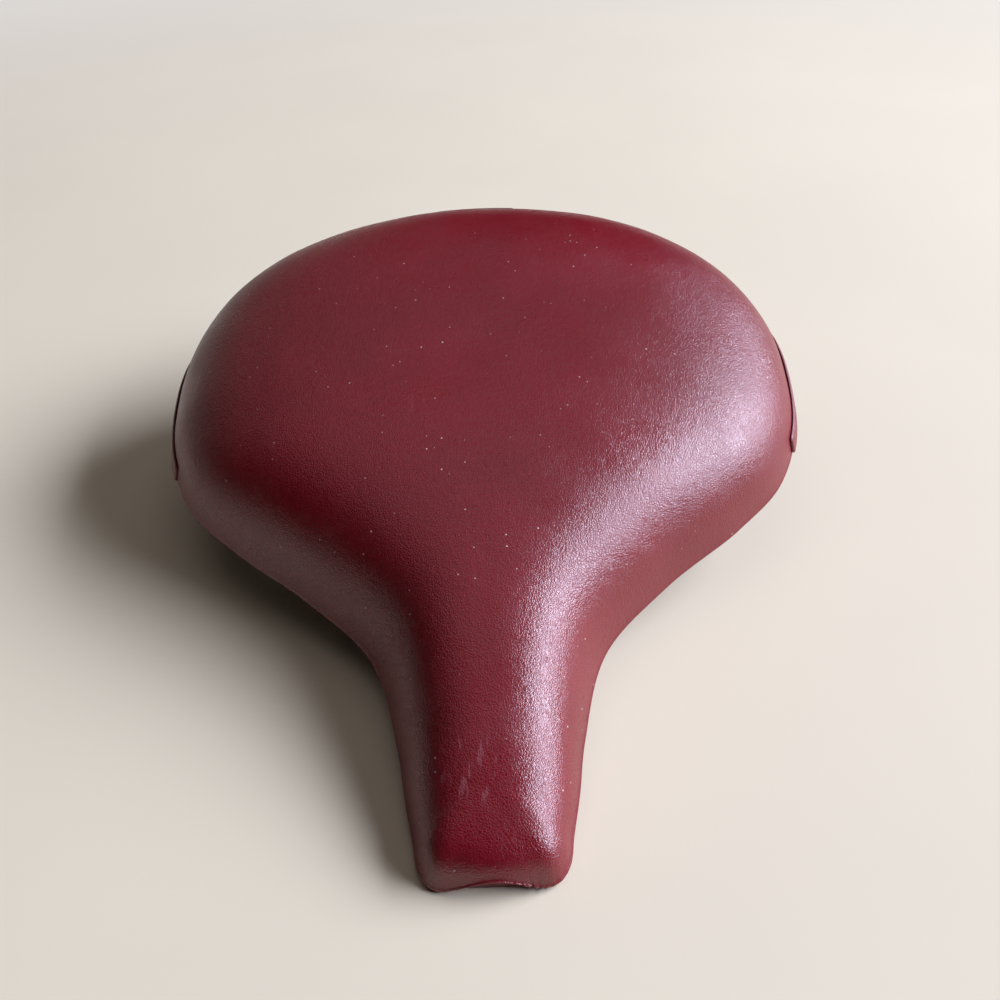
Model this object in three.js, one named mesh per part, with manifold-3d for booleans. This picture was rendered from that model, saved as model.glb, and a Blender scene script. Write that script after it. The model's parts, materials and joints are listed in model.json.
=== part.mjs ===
// A wide sprung bicycle saddle, resting on the tip of its nose and on its two lower spring nuts.
// Millimetres. +Z is up, the nose points along -Y, and z = 0 is the surface that the saddle rests on.
import * as THREE from 'three';
import { mergeVertices } from 'three/addons/utils/BufferGeometryUtils.js';
import Module from 'manifold-3d';

const wasm = await Module();
wasm.setup();

// ---------------------------------------------------------------- driving dimensions

const GAP = 0.3; // between touching pieces
const LAYER_GAP = 0.45; // between the cover, the foam and the pan, which are all drawn with flat facets
const RUNNING = 0.35; // between a piece and the one that turns or slides on it

// Cover, foam and pan
const LENGTH = 274.6; // cover, nose to rear
const WIDTH = 226.6; // cover, across the wings, without the trim band
const NOSE_WIDTH = 42; // across the lower front corners
const NOSE_FLARE = 5.5; // how much further out each flank is where the wing starts
const HEM_RISE = 41.7; // how much higher the hem is at the rear than at the nose
const HEM_CLEAR = 0.3; // nose hem above the resting surface
const TOP_REAR = 88; // where the line of the crown would reach if it ran on over the rear edge
const TOP_NOSE = 11; // crown height at the very front
const SKIN = 1.8;
const FOAM_TOP = { nose: 2, wing: 15 };
const FOAM_WALL = { nose: 2.5, wing: 7 };
const PAN = 1.4;
const HEM_TURN = 2.5; // how far the turned-in hem reaches past the pan
const ARCH_WIDTH = 27; // arched cut-out in the nose's front hem
const ARCH_HEIGHT = 4.6;
const NOSE_LIP_SETBACK = 1.4;
const NOSE_LIP_DEPTH = 5;
const TRIM = { thickness: 1.4, low: 0.6, high: 7 }; // the band round the rear, with its edges above the hem
const TRIM_START = 0.49; // share of the outline, from nose to rear, at which the band starts
const BADGE = { width: 33, thickness: 1.2, low: 0.27, high: 0.47 };

// Nose pivot
const PIVOT_SETBACK = 52; // from the front of the nose
const PIVOT_HEIGHT = 12;
const PIVOT_BOLT_D = 6;
const LUG = { thickness: 1.8, radius: 6.6 };
const NOSE_EYE_D = 13;
const NOSE_WALL = 7.95; // from the nose's lower corner in to the pan's inner face beside the pivot

// Rails
const RAIL_D = 7;
const RAIL_SPACING = 42; // between the rails' centres where the clamp grips them
const RAIL_SLOPE = THREE.MathUtils.degToRad(8);
const RAIL_BEND = 9; // length of wire taken up by each side of a bend
const CLAMP_SETBACK = 149; // from the front of the nose to the clamp bolt
const RAIL_HEIGHT = 26.5; // of a rail's centre, straight above the clamp bolt
const RAIL_STRAIGHT = { front: 42, rear: 46 };

// Springs
const SPRING_INSET = 61.3; // from the widest part of the wings in to a spring
const SPRING_SETBACK = 48.6; // from the rear of the cover
const COIL_D = 26; // mean diameter
const WIRE_D = 4;
const TURNS = 4.5;
const CHANNEL_Z = 50.4; // of the underside of the channel that the springs bear on
const CUP = { thickness: 1.4, rim: 5.5 };
const SPRING_BOLT_D = 6;
const CROSSBAR = { width: 18, thickness: 2 };
const REAR_EYE_D = 16;
const CHANNEL = { width: 24, thickness: 2.2, reach: 74 };

// Seat-post clamp
const POST_D = 22.2;
const BAND = { thickness: 2.6, height: 24, postSetback: 19.5, earRadius: 11 };
const CHEEK_D = 27;
const CHEEK_WEB = 2.8; // cheek left behind the groove that holds a rail
const CHEEK_SPLIT = 0.8; // between the inner and the outer cheek
const RAIL_DROP = 9.5; // from a rail's centre down to the clamp bolt's centre
const CLAMP_BOLT_D = 8;
const WASHER = { outer: 17, thickness: 1.6 };
const SERRATION = { teeth: 20, depth: 0.9, height: 0.9 };

// Hexagons: width across the flats and height, by bolt diameter
const HEX = { 6: { flats: 10, height: 4.2 }, 8: { flats: 13, height: 6.5 } };

// ---------------------------------------------------------------- places worked out from them

const FRONT = -LENGTH / 2;
const REAR = LENGTH / 2;
const NOSE_SPINE = FRONT + 20; // the crown's ridge runs between these two
const REAR_SPINE = REAR - 68.6;
const PIVOT = new THREE.Vector3(0, FRONT + PIVOT_SETBACK, PIVOT_HEIGHT);
const PIVOT_HEX = HEX[PIVOT_BOLT_D];
// Half the pan's width at the pivot, less a lug and the bolt's head. Half the lugs' gap and an eye share it.
const PIVOT_ROOM = NOSE_WIDTH / 2 - NOSE_WALL - LUG.thickness - RUNNING - GAP - PIVOT_HEX.height;
const NOSE_EYE_WIDTH = Math.min(0.72 * PIVOT_ROOM, 0.9 * RAIL_D);
const LUG_GAP = 2 * (PIVOT_ROOM - NOSE_EYE_WIDTH);
const CLAMP = new THREE.Vector3(0, FRONT + CLAMP_SETBACK, RAIL_HEIGHT - RAIL_DROP);
const SPRING = new THREE.Vector3(WIDTH / 2 - SPRING_INSET, REAR - SPRING_SETBACK, 0);
const SPRING_HEX = HEX[SPRING_BOLT_D];
const CROSSBAR_Z = SPRING_HEX.height + GAP;
const REAR_EYE_Z = CROSSBAR_Z + CROSSBAR.thickness + GAP;
const LOWER_CUP_Z = REAR_EYE_Z + RAIL_D + GAP;
const SPRING_Z = LOWER_CUP_Z + CUP.thickness + GAP;
const UPPER_CUP_Z = CHANNEL_Z - GAP - CUP.thickness;
const SPRING_LENGTH = UPPER_CUP_Z - GAP - SPRING_Z;
const CUP_R = (COIL_D + WIRE_D) / 2 + 0.5 + CUP.thickness;
const BAND_INNER_R = POST_D / 2 + 0.1;
const BAND_OUTER_R = BAND_INNER_R + BAND.thickness;
const GROOVE_R = RAIL_D / 2 + RUNNING;
const INNER_CHEEK_X = BAND_OUTER_R + RUNNING;
const OUTER_CHEEK_X = RAIL_SPACING / 2 + CHEEK_SPLIT / 2;
const OUTER_CHEEK_END = RAIL_SPACING / 2 + GROOVE_R + CHEEK_WEB;
const WASHER_X = OUTER_CHEEK_END + GAP;
const CLAMP_NUT_X = WASHER_X + WASHER.thickness + GAP;

// ---------------------------------------------------------------- finishes

const finish = (color, roughness, metalness) =>
  new THREE.MeshStandardMaterial({ color, roughness, metalness });
const VINYL = finish(0x6b1626, 0.42, 0);
const TRIM_VINYL = finish(0x7a2233, 0.4, 0);
const FOAM = finish(0xd9c389, 0.95, 0);
const BLACK_STEEL = finish(0x1b1c1e, 0.45, 0.3);
const ZINC = finish(0xa9abad, 0.35, 1);
const SPRING_STEEL = finish(0x8f9296, 0.3, 1);
const BADGE_METAL = finish(0x3b3331, 0.45, 0.7);

// ---------------------------------------------------------------- helpers

const model = new THREE.Group();
const v3 = (x, y, z) => new THREE.Vector3(x, y, z);

function add(name, shape, material, parent = model) {
  const geometry = shape.isBufferGeometry ? shape : geometryOf(shape);
  const mesh = new THREE.Mesh(geometry, material);
  mesh.name = name;
  parent.add(mesh);
  return mesh;
}

function solidOf(geometry) {
  const bare = geometry.clone();
  for (const name of Object.keys(bare.attributes)) if (name !== 'position') bare.deleteAttribute(name);
  const merged = mergeVertices(bare, 1e-4);
  return new wasm.Manifold(new wasm.Mesh({
    numProp: 3,
    vertProperties: merged.attributes.position.array,
    triVerts: new Uint32Array(merged.index.array),
  }));
}

function geometryOf(solid) {
  const mesh = solid.getMesh();
  const geometry = new THREE.BufferGeometry();
  geometry.setAttribute('position', new THREE.BufferAttribute(mesh.vertProperties, mesh.numProp));
  geometry.setIndex(new THREE.BufferAttribute(mesh.triVerts, 1));
  return geometry;
}

function box(x0, x1, y0, y1, z0, z1) {
  const geometry = new THREE.BoxGeometry(x1 - x0, y1 - y0, z1 - z0);
  return solidOf(geometry.translate((x0 + x1) / 2, (y0 + y1) / 2, (z0 + z1) / 2));
}

// A turned piece about +Z from [radius, height] corners, listed from the bottom axis point upwards.
function turned(corners, segments = 24) {
  return new THREE.LatheGeometry(corners.map(([r, z]) => new THREE.Vector2(r, z)), segments)
    .rotateX(Math.PI / 2);
}

const rod = (r, z0, z1, segments = 20) => turned([[0, z0], [r, z0], [r, z1], [0, z1]], segments);
const ringPiece = (inner, outer, z0, z1, segments = 20) =>
  turned([[inner, z0], [outer, z0], [outer, z1], [inner, z1], [inner, z0]], segments);
const alongX = (geometry) => geometry.rotateY(Math.PI / 2); // turns a piece made about +Z to lie about +X
const mirrored = (geometry, side) => (side > 0 ? geometry : geometry.rotateZ(Math.PI));

function extruded(points, depth) {
  const shape = new THREE.Shape(points.map(([x, y]) => new THREE.Vector2(x, y)));
  return new THREE.ExtrudeGeometry(shape, { depth, bevelEnabled: false });
}

// A hexagon with both ends' corners chamfered at 30 degrees, standing on z = 0.
function hexagon(flats, height) {
  const corner = flats / Math.sqrt(3);
  const outline = Array.from({ length: 6 }, (_, i) => {
    const a = (i * Math.PI) / 3;
    return [corner * Math.cos(a), corner * Math.sin(a)];
  });
  const rise = (corner - flats / 2) * Math.tan(Math.PI / 6);
  const chamfer = turned([
    [0, 0], [flats / 2, 0], [corner, rise], [corner, height - rise], [flats / 2, height], [0, height],
  ], 12);
  return solidOf(extruded(outline, height)).intersect(solidOf(chamfer));
}

function nut(boltD) {
  const { flats, height } = HEX[boltD];
  return geometryOf(hexagon(flats, height).subtract(solidOf(rod(boltD / 2 + 0.25, -1, height + 1, 12))));
}

// A stretch of thread as ridges round a rod, as [radius, height] corners from z0 up to z1.
function threadCorners(r, z0, z1, pitch) {
  const corners = [];
  const ridges = Math.max(1, Math.floor((z1 - z0) / pitch));
  for (let i = 0; i < ridges; i++) {
    const z = z0 + i * pitch;
    corners.push([r * 0.88, z], [r, z + pitch / 2]);
  }
  corners.push([r * 0.88, z1]);
  return corners;
}

// A hexagon-head bolt: head on z = 0 upwards, shank down to -length, its last stretch threaded.
function bolt(boltD, length, threaded) {
  const { flats, height } = HEX[boltD];
  const r = boltD / 2;
  const shank = turned([
    [0, -length], ...threadCorners(r, -length, -length + threaded, 1.1), [r, -length + threaded],
    [r, 0.5], [0, 0.5],
  ], 12);
  return geometryOf(hexagon(flats, height).add(solidOf(shank)));
}

// ---------------------------------------------------------------- the cover's form

// A smooth line through [place, value] pairs, read at any place between them.
function smooth(table, at) {
  const last = table.length - 1;
  let i = 0;
  while (i < last - 1 && at > table[i + 1][0]) i++;
  const slope = (k) => {
    const a = Math.max(0, k - 1);
    const b = Math.min(last, k + 1);
    return (table[b][1] - table[a][1]) / (table[b][0] - table[a][0]);
  };
  const [x0, y0] = table[i];
  const [x1, y1] = table[i + 1];
  const h = x1 - x0;
  const t = THREE.MathUtils.clamp((at - x0) / h, 0, 1);
  const u = 1 - t;
  const fromLow = u * u * ((1 + 2 * t) * y0 + t * h * slope(i));
  const fromHigh = t * t * ((3 - 2 * t) * y1 - u * h * slope(i + 1));
  return fromLow + fromHigh;
}

// Shares of the length from nose to rear, and shares of the rise from the lowest value to the highest.
const HEM_LINE = [[0, 0], [0.133, 0.09], [0.35, 0.33], [0.57, 0.66], [0.75, 0.86], [1, 1]];
const TOP_LINE = [
  [0, 0], [0.042, 0.055], [0.133, 0.19], [0.28, 0.39], [0.424, 0.56], [0.57, 0.688], [0.716, 0.817],
  [0.86, 0.934], [1, 1],
];
const shareAt = (y) => (y - FRONT) / LENGTH;
const hemAt = (y) => HEM_CLEAR + HEM_RISE * smooth(HEM_LINE, shareAt(y));
const topAt = (y) => TOP_NOSE + (TOP_REAR - TOP_NOSE) * smooth(TOP_LINE, shareAt(y));
const roundnessAt = (y) => smooth([[0, 4.5], [0.05, 3.1], [0.25, 2.9], [0.6, 2.8], [1, 2.6]], shareAt(y));
const draftAt = (y) => smooth([[0, 3], [0.25, 7], [0.6, 9], [0.85, 8], [1, 6]], shareAt(y));
const wingward = (size, y) =>
  size.nose + (size.wing - size.nose) * THREE.MathUtils.smoothstep(shareAt(y), 0.2, 0.5);

// Half of the hem's outline as [x, y], from the middle of the nose to the middle of the rear.
const NOSE_HALF = NOSE_WIDTH / 2;
const WING_HALF = WIDTH / 2;
const onWing = (across, along) => [across * WING_HALF, FRONT + along * LENGTH];
const OUTLINE = [
  [0, FRONT], [NOSE_HALF - 11, FRONT + 0.3], [NOSE_HALF - 4.6, FRONT + 1.8], [NOSE_HALF - 1.4, FRONT + 6],
  [NOSE_HALF + 0.3, FRONT + 14.5], [NOSE_HALF + 2.7, FRONT + 26], [NOSE_HALF + NOSE_FLARE, FRONT + 42],
  onWing(0.315, 0.26), onWing(0.51, 0.344), onWing(0.735, 0.417), onWing(0.885, 0.479),
  onWing(0.967, 0.552), onWing(1, 0.644), onWing(0.99, 0.734), onWing(0.9, 0.832),
  onWing(0.705, 0.916), onWing(0.4, 0.975), [0, REAR],
];
const hemCurve = new THREE.CatmullRomCurve3(
  [...OUTLINE, ...OUTLINE.slice(1, -1).reverse().map(([x, y]) => [-x, y])].map(([x, y]) => v3(x, y, 0)),
  true, 'centripetal',
);

// A place on the outline, from share 0 at the nose to 1 at the rear, on side +1 or -1, with its outward
// direction and the point of the ridge that its stretch of cover rises to.
function station(share, side) {
  const at = hemCurve.getPointAt(share / 2);
  const along = hemCurve.getTangentAt(share / 2);
  const ridge = v3(0, THREE.MathUtils.clamp(at.y, NOSE_SPINE, REAR_SPINE), 0);
  if (share === 0 || share === 1) at.x = 0;
  return { at: at.setX(at.x * side), out: v3(along.y * side, -along.x, 0), ridge, side };
}

// Places all round the outline, closer together at the nose, where it turns most tightly.
function stations(half) {
  const shareOf = (i) => (i / half) * (0.4 + (0.6 * i) / half);
  const right = Array.from({ length: half + 1 }, (_, i) => station(shareOf(i), 1));
  const left = Array.from({ length: half - 1 }, (_, i) => station(shareOf(half - 1 - i), -1));
  return [...right, ...left];
}

// Every layer is drawn through the same places and the same number of turns, so that each nests in the next.
const PLACES = stations(40);
const TURN_STEPS = 6;

// The arch cut up into the hem across the front of the nose.
const archAt = (x) =>
  (Math.abs(x) < ARCH_WIDTH / 2 ? ARCH_HEIGHT * Math.cos((Math.PI * x) / ARCH_WIDTH) ** 1.3 : 0);
const isNoseFront = (at) => at.y < FRONT + 4;

// The point of a layer of the saddle at one station: turn 0 is at the hem and 1 on the ridge. `side` and
// `top` are how deep the layer lies inside the cover's outer face, and `lift` raises its lower edge.
function layerPoint(place, turn, side, top, lift) {
  const inward = place.ridge.clone().sub(place.at).setZ(0);
  const reach = inward.length();
  const facing = Math.max(0.35, -inward.dot(place.out) / reach);
  const foot = place.at.clone().addScaledVector(inward, side / facing / reach);
  const n = roundnessAt(place.at.y);
  const c = Math.cos((turn * Math.PI) / 2) ** (2 / n);
  const s = turn === 1 ? 1 : Math.sin((turn * Math.PI) / 2) ** (2 / n);
  const arm = foot.clone().sub(place.ridge);
  const d = Math.min(draftAt(place.at.y) / arm.length(), 0.45);
  const k = turn === 1 ? 0 : c * (1 - d) + d * (1 - s);
  const point = place.ridge.clone().addScaledVector(arm, k);
  const hem = hemAt(place.at.y) + (isNoseFront(place.at) ? archAt(place.at.x) : 0) + lift;
  point.z = hem * (1 - s) + (topAt(point.y) - top) * s;
  return point;
}

// A closed surface from rings of points, each ring joined to the next, with the first and the last ring
// closing on themselves. The first `inner` bands run the other way up the form than the rest, so their
// squares are cut along the other diagonal, and a piece's inside has the facets of what nests in it.
function surfaceOf(rings, inner = 0) {
  const corners = [];
  const face = (a, b, c) => {
    const flat = a.distanceTo(b) < 1e-4 || b.distanceTo(c) < 1e-4 || c.distanceTo(a) < 1e-4;
    if (!flat) corners.push(...a.toArray(), ...b.toArray(), ...c.toArray());
  };
  for (let r = 0; r + 1 < rings.length; r++) {
    const lower = rings[r];
    const upper = rings[r + 1];
    for (let i = 0; i < lower.length; i++) {
      const j = (i + 1) % lower.length;
      face(lower[i], lower[j], r < inner ? upper[i] : upper[j]);
      face(r < inner ? lower[j] : lower[i], upper[j], upper[i]);
    }
  }
  return new THREE.BufferGeometry().setAttribute('position', new THREE.Float32BufferAttribute(corners, 3));
}

// A ring drawn in to its middle, which closes the end of a strip.
function collapsed(ring) {
  const middle = ring.reduce((sum, p) => sum.add(p), v3(0, 0, 0)).divideScalar(ring.length);
  return ring.map(() => middle);
}

// Rings of one layer from its lower edge up to the ridge.
function layerRings(side, top, lift) {
  return Array.from({ length: TURN_STEPS + 1 }, (_, j) =>
    PLACES.map((p) => layerPoint(p, j / TURN_STEPS, side(p.at.y), top(p.at.y), lift)));
}

// How deep each layer's faces lie, at the walls and at the top.
const FOAM_OUT = SKIN + LAYER_GAP;
const foamWall = (y) => FOAM_OUT + wingward(FOAM_WALL, y);
const foamTop = (y) => FOAM_OUT + wingward(FOAM_TOP, y);
const panWall = (y) => foamWall(y) + LAYER_GAP + PAN;
const panTop = (y) => foamTop(y) + LAYER_GAP + PAN;
const LINING_LIFT = SKIN + LAYER_GAP; // lower edge of the foam and the pan above the hem's underside
const always = (value) => () => value;

// A shell between two faces of the cover's form, open underneath.
function shell(outer, inner, lift) {
  const outside = layerRings(outer[0], outer[1], lift);
  const inside = layerRings(inner[0], inner[1], lift);
  return surfaceOf([...inside.reverse(), ...outside], TURN_STEPS);
}

function coverSkin() {
  const outside = layerRings(always(0), always(0), 0);
  const inside = layerRings(always(SKIN), always(SKIN), SKIN);
  const edge = (lift) => PLACES.map((p) => layerPoint(p, 0, panWall(p.at.y) + HEM_TURN, 0, lift));
  return surfaceOf([...inside.reverse(), edge(SKIN), edge(0), ...outside], TURN_STEPS);
}

const foamPad = () => shell([always(FOAM_OUT), always(FOAM_OUT)], [foamWall, foamTop], LINING_LIFT);

const basePan = () => shell(
  [(y) => foamWall(y) + LAYER_GAP, (y) => foamTop(y) + LAYER_GAP], [panWall, panTop], LINING_LIFT,
);

// The room under the pan, as a solid that trims whatever is welded to it.
function underPan() {
  const roof = layerRings((y) => panWall(y) + GAP, (y) => panTop(y) + GAP, LINING_LIFT);
  const floor = roof[0].map((p) => v3(p.x, p.y, -50));
  const floorRidge = PLACES.map((p) => v3(0, p.ridge.y, -50));
  return solidOf(surfaceOf([floorRidge, floor, ...roof]));
}

// The tucked-in lip that fills the arch in the front of the nose, and that the nose rests on.
function noseLip() {
  const front = PLACES.filter((p) => isNoseFront(p.at) && archAt(p.at.x) > 3 * GAP)
    .sort((a, b) => a.at.x - b.at.x);
  const sections = front.map((place) => {
    const top = HEM_CLEAR + archAt(place.at.x) - GAP;
    const outer = layerPoint(place, 0, NOSE_LIP_SETBACK, 0, 0);
    const inner = layerPoint(place, 0, NOSE_LIP_SETBACK + NOSE_LIP_DEPTH, 0, 0);
    return [[inner, 0], [inner, top], [outer, top], [outer, 0]].map(([p, z]) => v3(p.x, p.y, z));
  });
  return surfaceOf([collapsed(sections[0]), ...sections, collapsed(sections.at(-1))]);
}

// A strip lying on the outside of the cover, from one share of the outline on the right side round the rear
// to the same share on the left. turnsAt gives the turns of its lower and upper edge at a place.
function wallStrip(fromShare, steps, turnsAt, thickness) {
  const levels = [0, 0.5, 1];
  const sections = Array.from({ length: 2 * steps + 1 }, (_, i) => {
    const k = (i - steps) / steps;
    const place = station(1 - Math.abs(k) * (1 - fromShare), k < 0 ? 1 : -1);
    const [low, high] = turnsAt(place);
    const at = (level, out) => layerPoint(place, low + (high - low) * level, -out, -out, 0);
    return [...levels.map((l) => at(l, GAP)), ...levels.toReversed().map((l) => at(l, GAP + thickness))];
  });
  return surfaceOf([collapsed(sections[0]), ...sections, collapsed(sections.at(-1))]);
}

// The band round the rear of the cover, just above the hem, with its ends at the widest part of the wings.
function trimBand() {
  const turnsAt = (place) => {
    const wall = topAt(place.at.y) - hemAt(place.at.y);
    const turnOf = (height) => (2 / Math.PI) * Math.asin((height / wall) ** (roundnessAt(place.at.y) / 2));
    return [turnOf(TRIM.low), turnOf(TRIM.high)];
  };
  return wallStrip(TRIM_START, 34, turnsAt, TRIM.thickness);
}

// The blank plate on the rear shoulder. Its lower and upper edge are given as turns up the cover's form.
function badgePlate() {
  const middle = (BADGE.low + BADGE.high) / 2;
  const fan = (layerPoint(station(1, 1), middle, 0, 0, 0).y - REAR_SPINE) / (REAR - REAR_SPINE);
  const reach = BADGE.width / 2 / fan / (hemCurve.getLength() / 2);
  return wallStrip(1 - reach, 3, () => [BADGE.low, BADGE.high], BADGE.thickness);
}

// ---------------------------------------------------------------- undercarriage pieces

// A round wire along straight legs between corner points, with each corner bent to an arc.
function wire(points, r, steps, sides) {
  const path = new THREE.CurvePath();
  let from = points[0];
  for (let i = 1; i < points.length; i++) {
    const corner = points[i];
    if (i === points.length - 1) {
      path.add(new THREE.LineCurve3(from, corner));
      break;
    }
    const before = corner.clone().add(from.clone().sub(corner).setLength(RAIL_BEND));
    const after = corner.clone().add(points[i + 1].clone().sub(corner).setLength(RAIL_BEND));
    path.add(new THREE.LineCurve3(from, before));
    path.add(new THREE.QuadraticBezierCurve3(before, corner, after));
    from = after;
  }
  const section = new THREE.Shape(Array.from({ length: sides }, (_, i) => {
    const a = (2 * Math.PI * i) / sides;
    return new THREE.Vector2(r * Math.cos(a), r * Math.sin(a));
  }));
  return new THREE.ExtrudeGeometry(section, { steps, bevelEnabled: false, extrudePath: path });
}

// The rail on one side: an eye on the nose bolt, a straight stretch for the clamp and an eye at the spring.
function rail(side) {
  const slope = Math.tan(RAIL_SLOPE);
  const onStraight = (dy) => v3(side * RAIL_SPACING / 2, CLAMP.y + dy, RAIL_HEIGHT + dy * slope);
  const noseX = side * (LUG_GAP / 2 + LUG.thickness + RUNNING + NOSE_EYE_WIDTH / 2);
  const wireX = noseX + side * (RAIL_D - NOSE_EYE_WIDTH) / 2;
  const eyeZ = REAR_EYE_Z + RAIL_D / 2;
  const rearEye = v3(side * SPRING.x, SPRING.y, eyeZ);
  const underCup = v3(side * (SPRING.x - 16), SPRING.y - 17, eyeZ);
  const wireStart = PIVOT.y + PIVOT_HEX.flats / Math.sqrt(3) + 2 * RUNNING;
  const body = wire([
    v3(wireX, wireStart, PIVOT.z), v3(wireX, wireStart + 2 * RAIL_BEND, PIVOT.z),
    onStraight(-RAIL_STRAIGHT.front), onStraight(RAIL_STRAIGHT.rear), underCup, rearEye,
  ], RAIL_D / 2, 44, 10);
  const noseRing = alongX(rod(NOSE_EYE_D / 2, -NOSE_EYE_WIDTH / 2, NOSE_EYE_WIDTH / 2))
    .translate(noseX, PIVOT.y, PIVOT.z);
  const neckX = noseX - NOSE_EYE_WIDTH / 2;
  const neck = box(neckX, neckX + NOSE_EYE_WIDTH, PIVOT.y, wireStart + 2, PIVOT.z - 3, PIVOT.z + 3);
  const noseBore = alongX(rod(PIVOT_BOLT_D / 2 + RUNNING, -20, 20)).translate(noseX, PIVOT.y, PIVOT.z);
  const rearRing = rod(REAR_EYE_D / 2, 0, RAIL_D).translate(side * SPRING.x, SPRING.y, REAR_EYE_Z);
  const rearBore = rod(SPRING_BOLT_D / 2 + GAP, -5, 20).translate(side * SPRING.x, SPRING.y, REAR_EYE_Z);
  return solidOf(body).add(neck).add(solidOf(noseRing)).add(solidOf(rearRing))
    .subtract(solidOf(noseBore)).subtract(solidOf(rearBore));
}

// A lug welded under the pan, hanging down beside the rails' front eyes.
function noseLug(side) {
  const x0 = side > 0 ? LUG_GAP / 2 : -LUG_GAP / 2 - LUG.thickness;
  const { x, y, z } = v3(x0, PIVOT.y, PIVOT.z);
  const plate = box(x, x + LUG.thickness, y - LUG.radius, y + LUG.radius, z, z + 40);
  const round = alongX(rod(LUG.radius, 0, LUG.thickness)).translate(x, y, z);
  const hole = alongX(rod(PIVOT_BOLT_D / 2 + RUNNING, -2, LUG.thickness + 2)).translate(x, y, z);
  return plate.add(solidOf(round)).intersect(underPan()).subtract(solidOf(hole));
}

// The channel welded across the pan's underside that carries the springs' upper cups.
function rearChannel() {
  const { width, thickness, reach } = CHANNEL;
  const y0 = SPRING.y - width / 2;
  const y1 = SPRING.y + width / 2;
  const floor = box(-reach, reach, y0, y1, CHANNEL_Z, CHANNEL_Z + thickness);
  const flanges = box(-reach, reach, y0, y0 + thickness, CHANNEL_Z, TOP_REAR)
    .add(box(-reach, reach, y1 - thickness, y1, CHANNEL_Z, TOP_REAR));
  const hole = (side) =>
    solidOf(rod(SPRING_BOLT_D / 2 + GAP, 0, TOP_REAR).translate(side * SPRING.x, SPRING.y, 0));
  return floor.add(flanges).intersect(underPan()).subtract(hole(1)).subtract(hole(-1));
}

function rearCrossbar() {
  const half = CROSSBAR.width / 2;
  const bar = box(-SPRING.x, SPRING.x, -half, half, 0, CROSSBAR.thickness);
  const end = (side) => solidOf(rod(half, 0, CROSSBAR.thickness).translate(side * SPRING.x, 0, 0));
  const hole = (side) => solidOf(rod(SPRING_BOLT_D / 2 + GAP, -1, 9).translate(side * SPRING.x, 0, 0));
  return bar.add(end(1)).add(end(-1)).subtract(hole(1)).subtract(hole(-1));
}

// A pressed cup that one end of a coil spring sits in, floor down and rim up.
function springCup() {
  const hole = SPRING_BOLT_D / 2 + GAP;
  const inner = CUP_R - CUP.thickness;
  return turned([
    [hole, 0], [CUP_R - 1, 0], [CUP_R, 1], [CUP_R, CUP.rim], [inner, CUP.rim], [inner, CUP.thickness],
    [hole, CUP.thickness], [hole, 0],
  ], 24);
}

// A compression spring with closed ends, standing on z = 0.
class CoilLine extends THREE.Curve {
  getPoint(t) {
    const closed = 0.75; // turns at each end that lie nearly flat
    const tight = WIRE_D * 1.1;
    const turn = t * TURNS;
    const middle = TURNS - 2 * closed;
    const open = (SPRING_LENGTH - WIRE_D - 2 * closed * tight) / middle;
    const opened = THREE.MathUtils.clamp(turn - closed, 0, middle);
    const z = (turn - opened) * tight + opened * open;
    const a = 2 * Math.PI * turn;
    return v3((COIL_D / 2) * Math.cos(a), (COIL_D / 2) * Math.sin(a), WIRE_D / 2 + z);
  }
}

function coilSpring() {
  const sides = 7;
  const section = new THREE.Shape(Array.from({ length: sides }, (_, i) => {
    const a = (2 * Math.PI * i) / sides;
    return new THREE.Vector2((WIRE_D / 2) * Math.cos(a), (WIRE_D / 2) * Math.sin(a));
  }));
  const options = { steps: TURNS * 12, bevelEnabled: false, extrudePath: new CoilLine() };
  return new THREE.ExtrudeGeometry(section, options);
}

// ---------------------------------------------------------------- seat-post clamp, about its bolt

// The strap round the seat post: a loop behind the bolt whose two ears reach forward over it.
function postBand() {
  const { postSetback, height, earRadius } = BAND;
  const arc = (r, from, to, steps) => Array.from({ length: steps + 1 }, (_, i) => {
    const a = from + ((to - from) * i) / steps;
    return [r * Math.cos(a), postSetback + r * Math.sin(a)];
  });
  const loop = [
    [BAND_OUTER_R, -earRadius], ...arc(BAND_OUTER_R, 0, Math.PI, 18), [-BAND_OUTER_R, -earRadius],
    [-BAND_INNER_R, -earRadius], ...arc(BAND_INNER_R, Math.PI, 0, 18), [BAND_INNER_R, -earRadius],
  ];
  const strap = solidOf(extruded(loop, height).translate(0, 0, -height / 2));
  const ears = solidOf(alongX(rod(earRadius, -BAND_OUTER_R - 1, BAND_OUTER_R + 1, 24)));
  const rearPart = box(-50, 50, 4, 80, -height / 2, height / 2);
  const hole = solidOf(alongX(rod(CLAMP_BOLT_D / 2 + RUNNING, -40, 40)));
  return strap.intersect(ears.add(rearPart)).subtract(hole);
}

// Both rails' grooves in a cheek, above and below the bolt, so that the clamp can be fitted either way up.
function grooves(x) {
  const groove = (z) => solidOf(rod(GROOVE_R, -40, 40).rotateX(Math.PI / 2).translate(x, 0, z));
  return groove(RAIL_DROP).add(groove(-RAIL_DROP));
}

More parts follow.
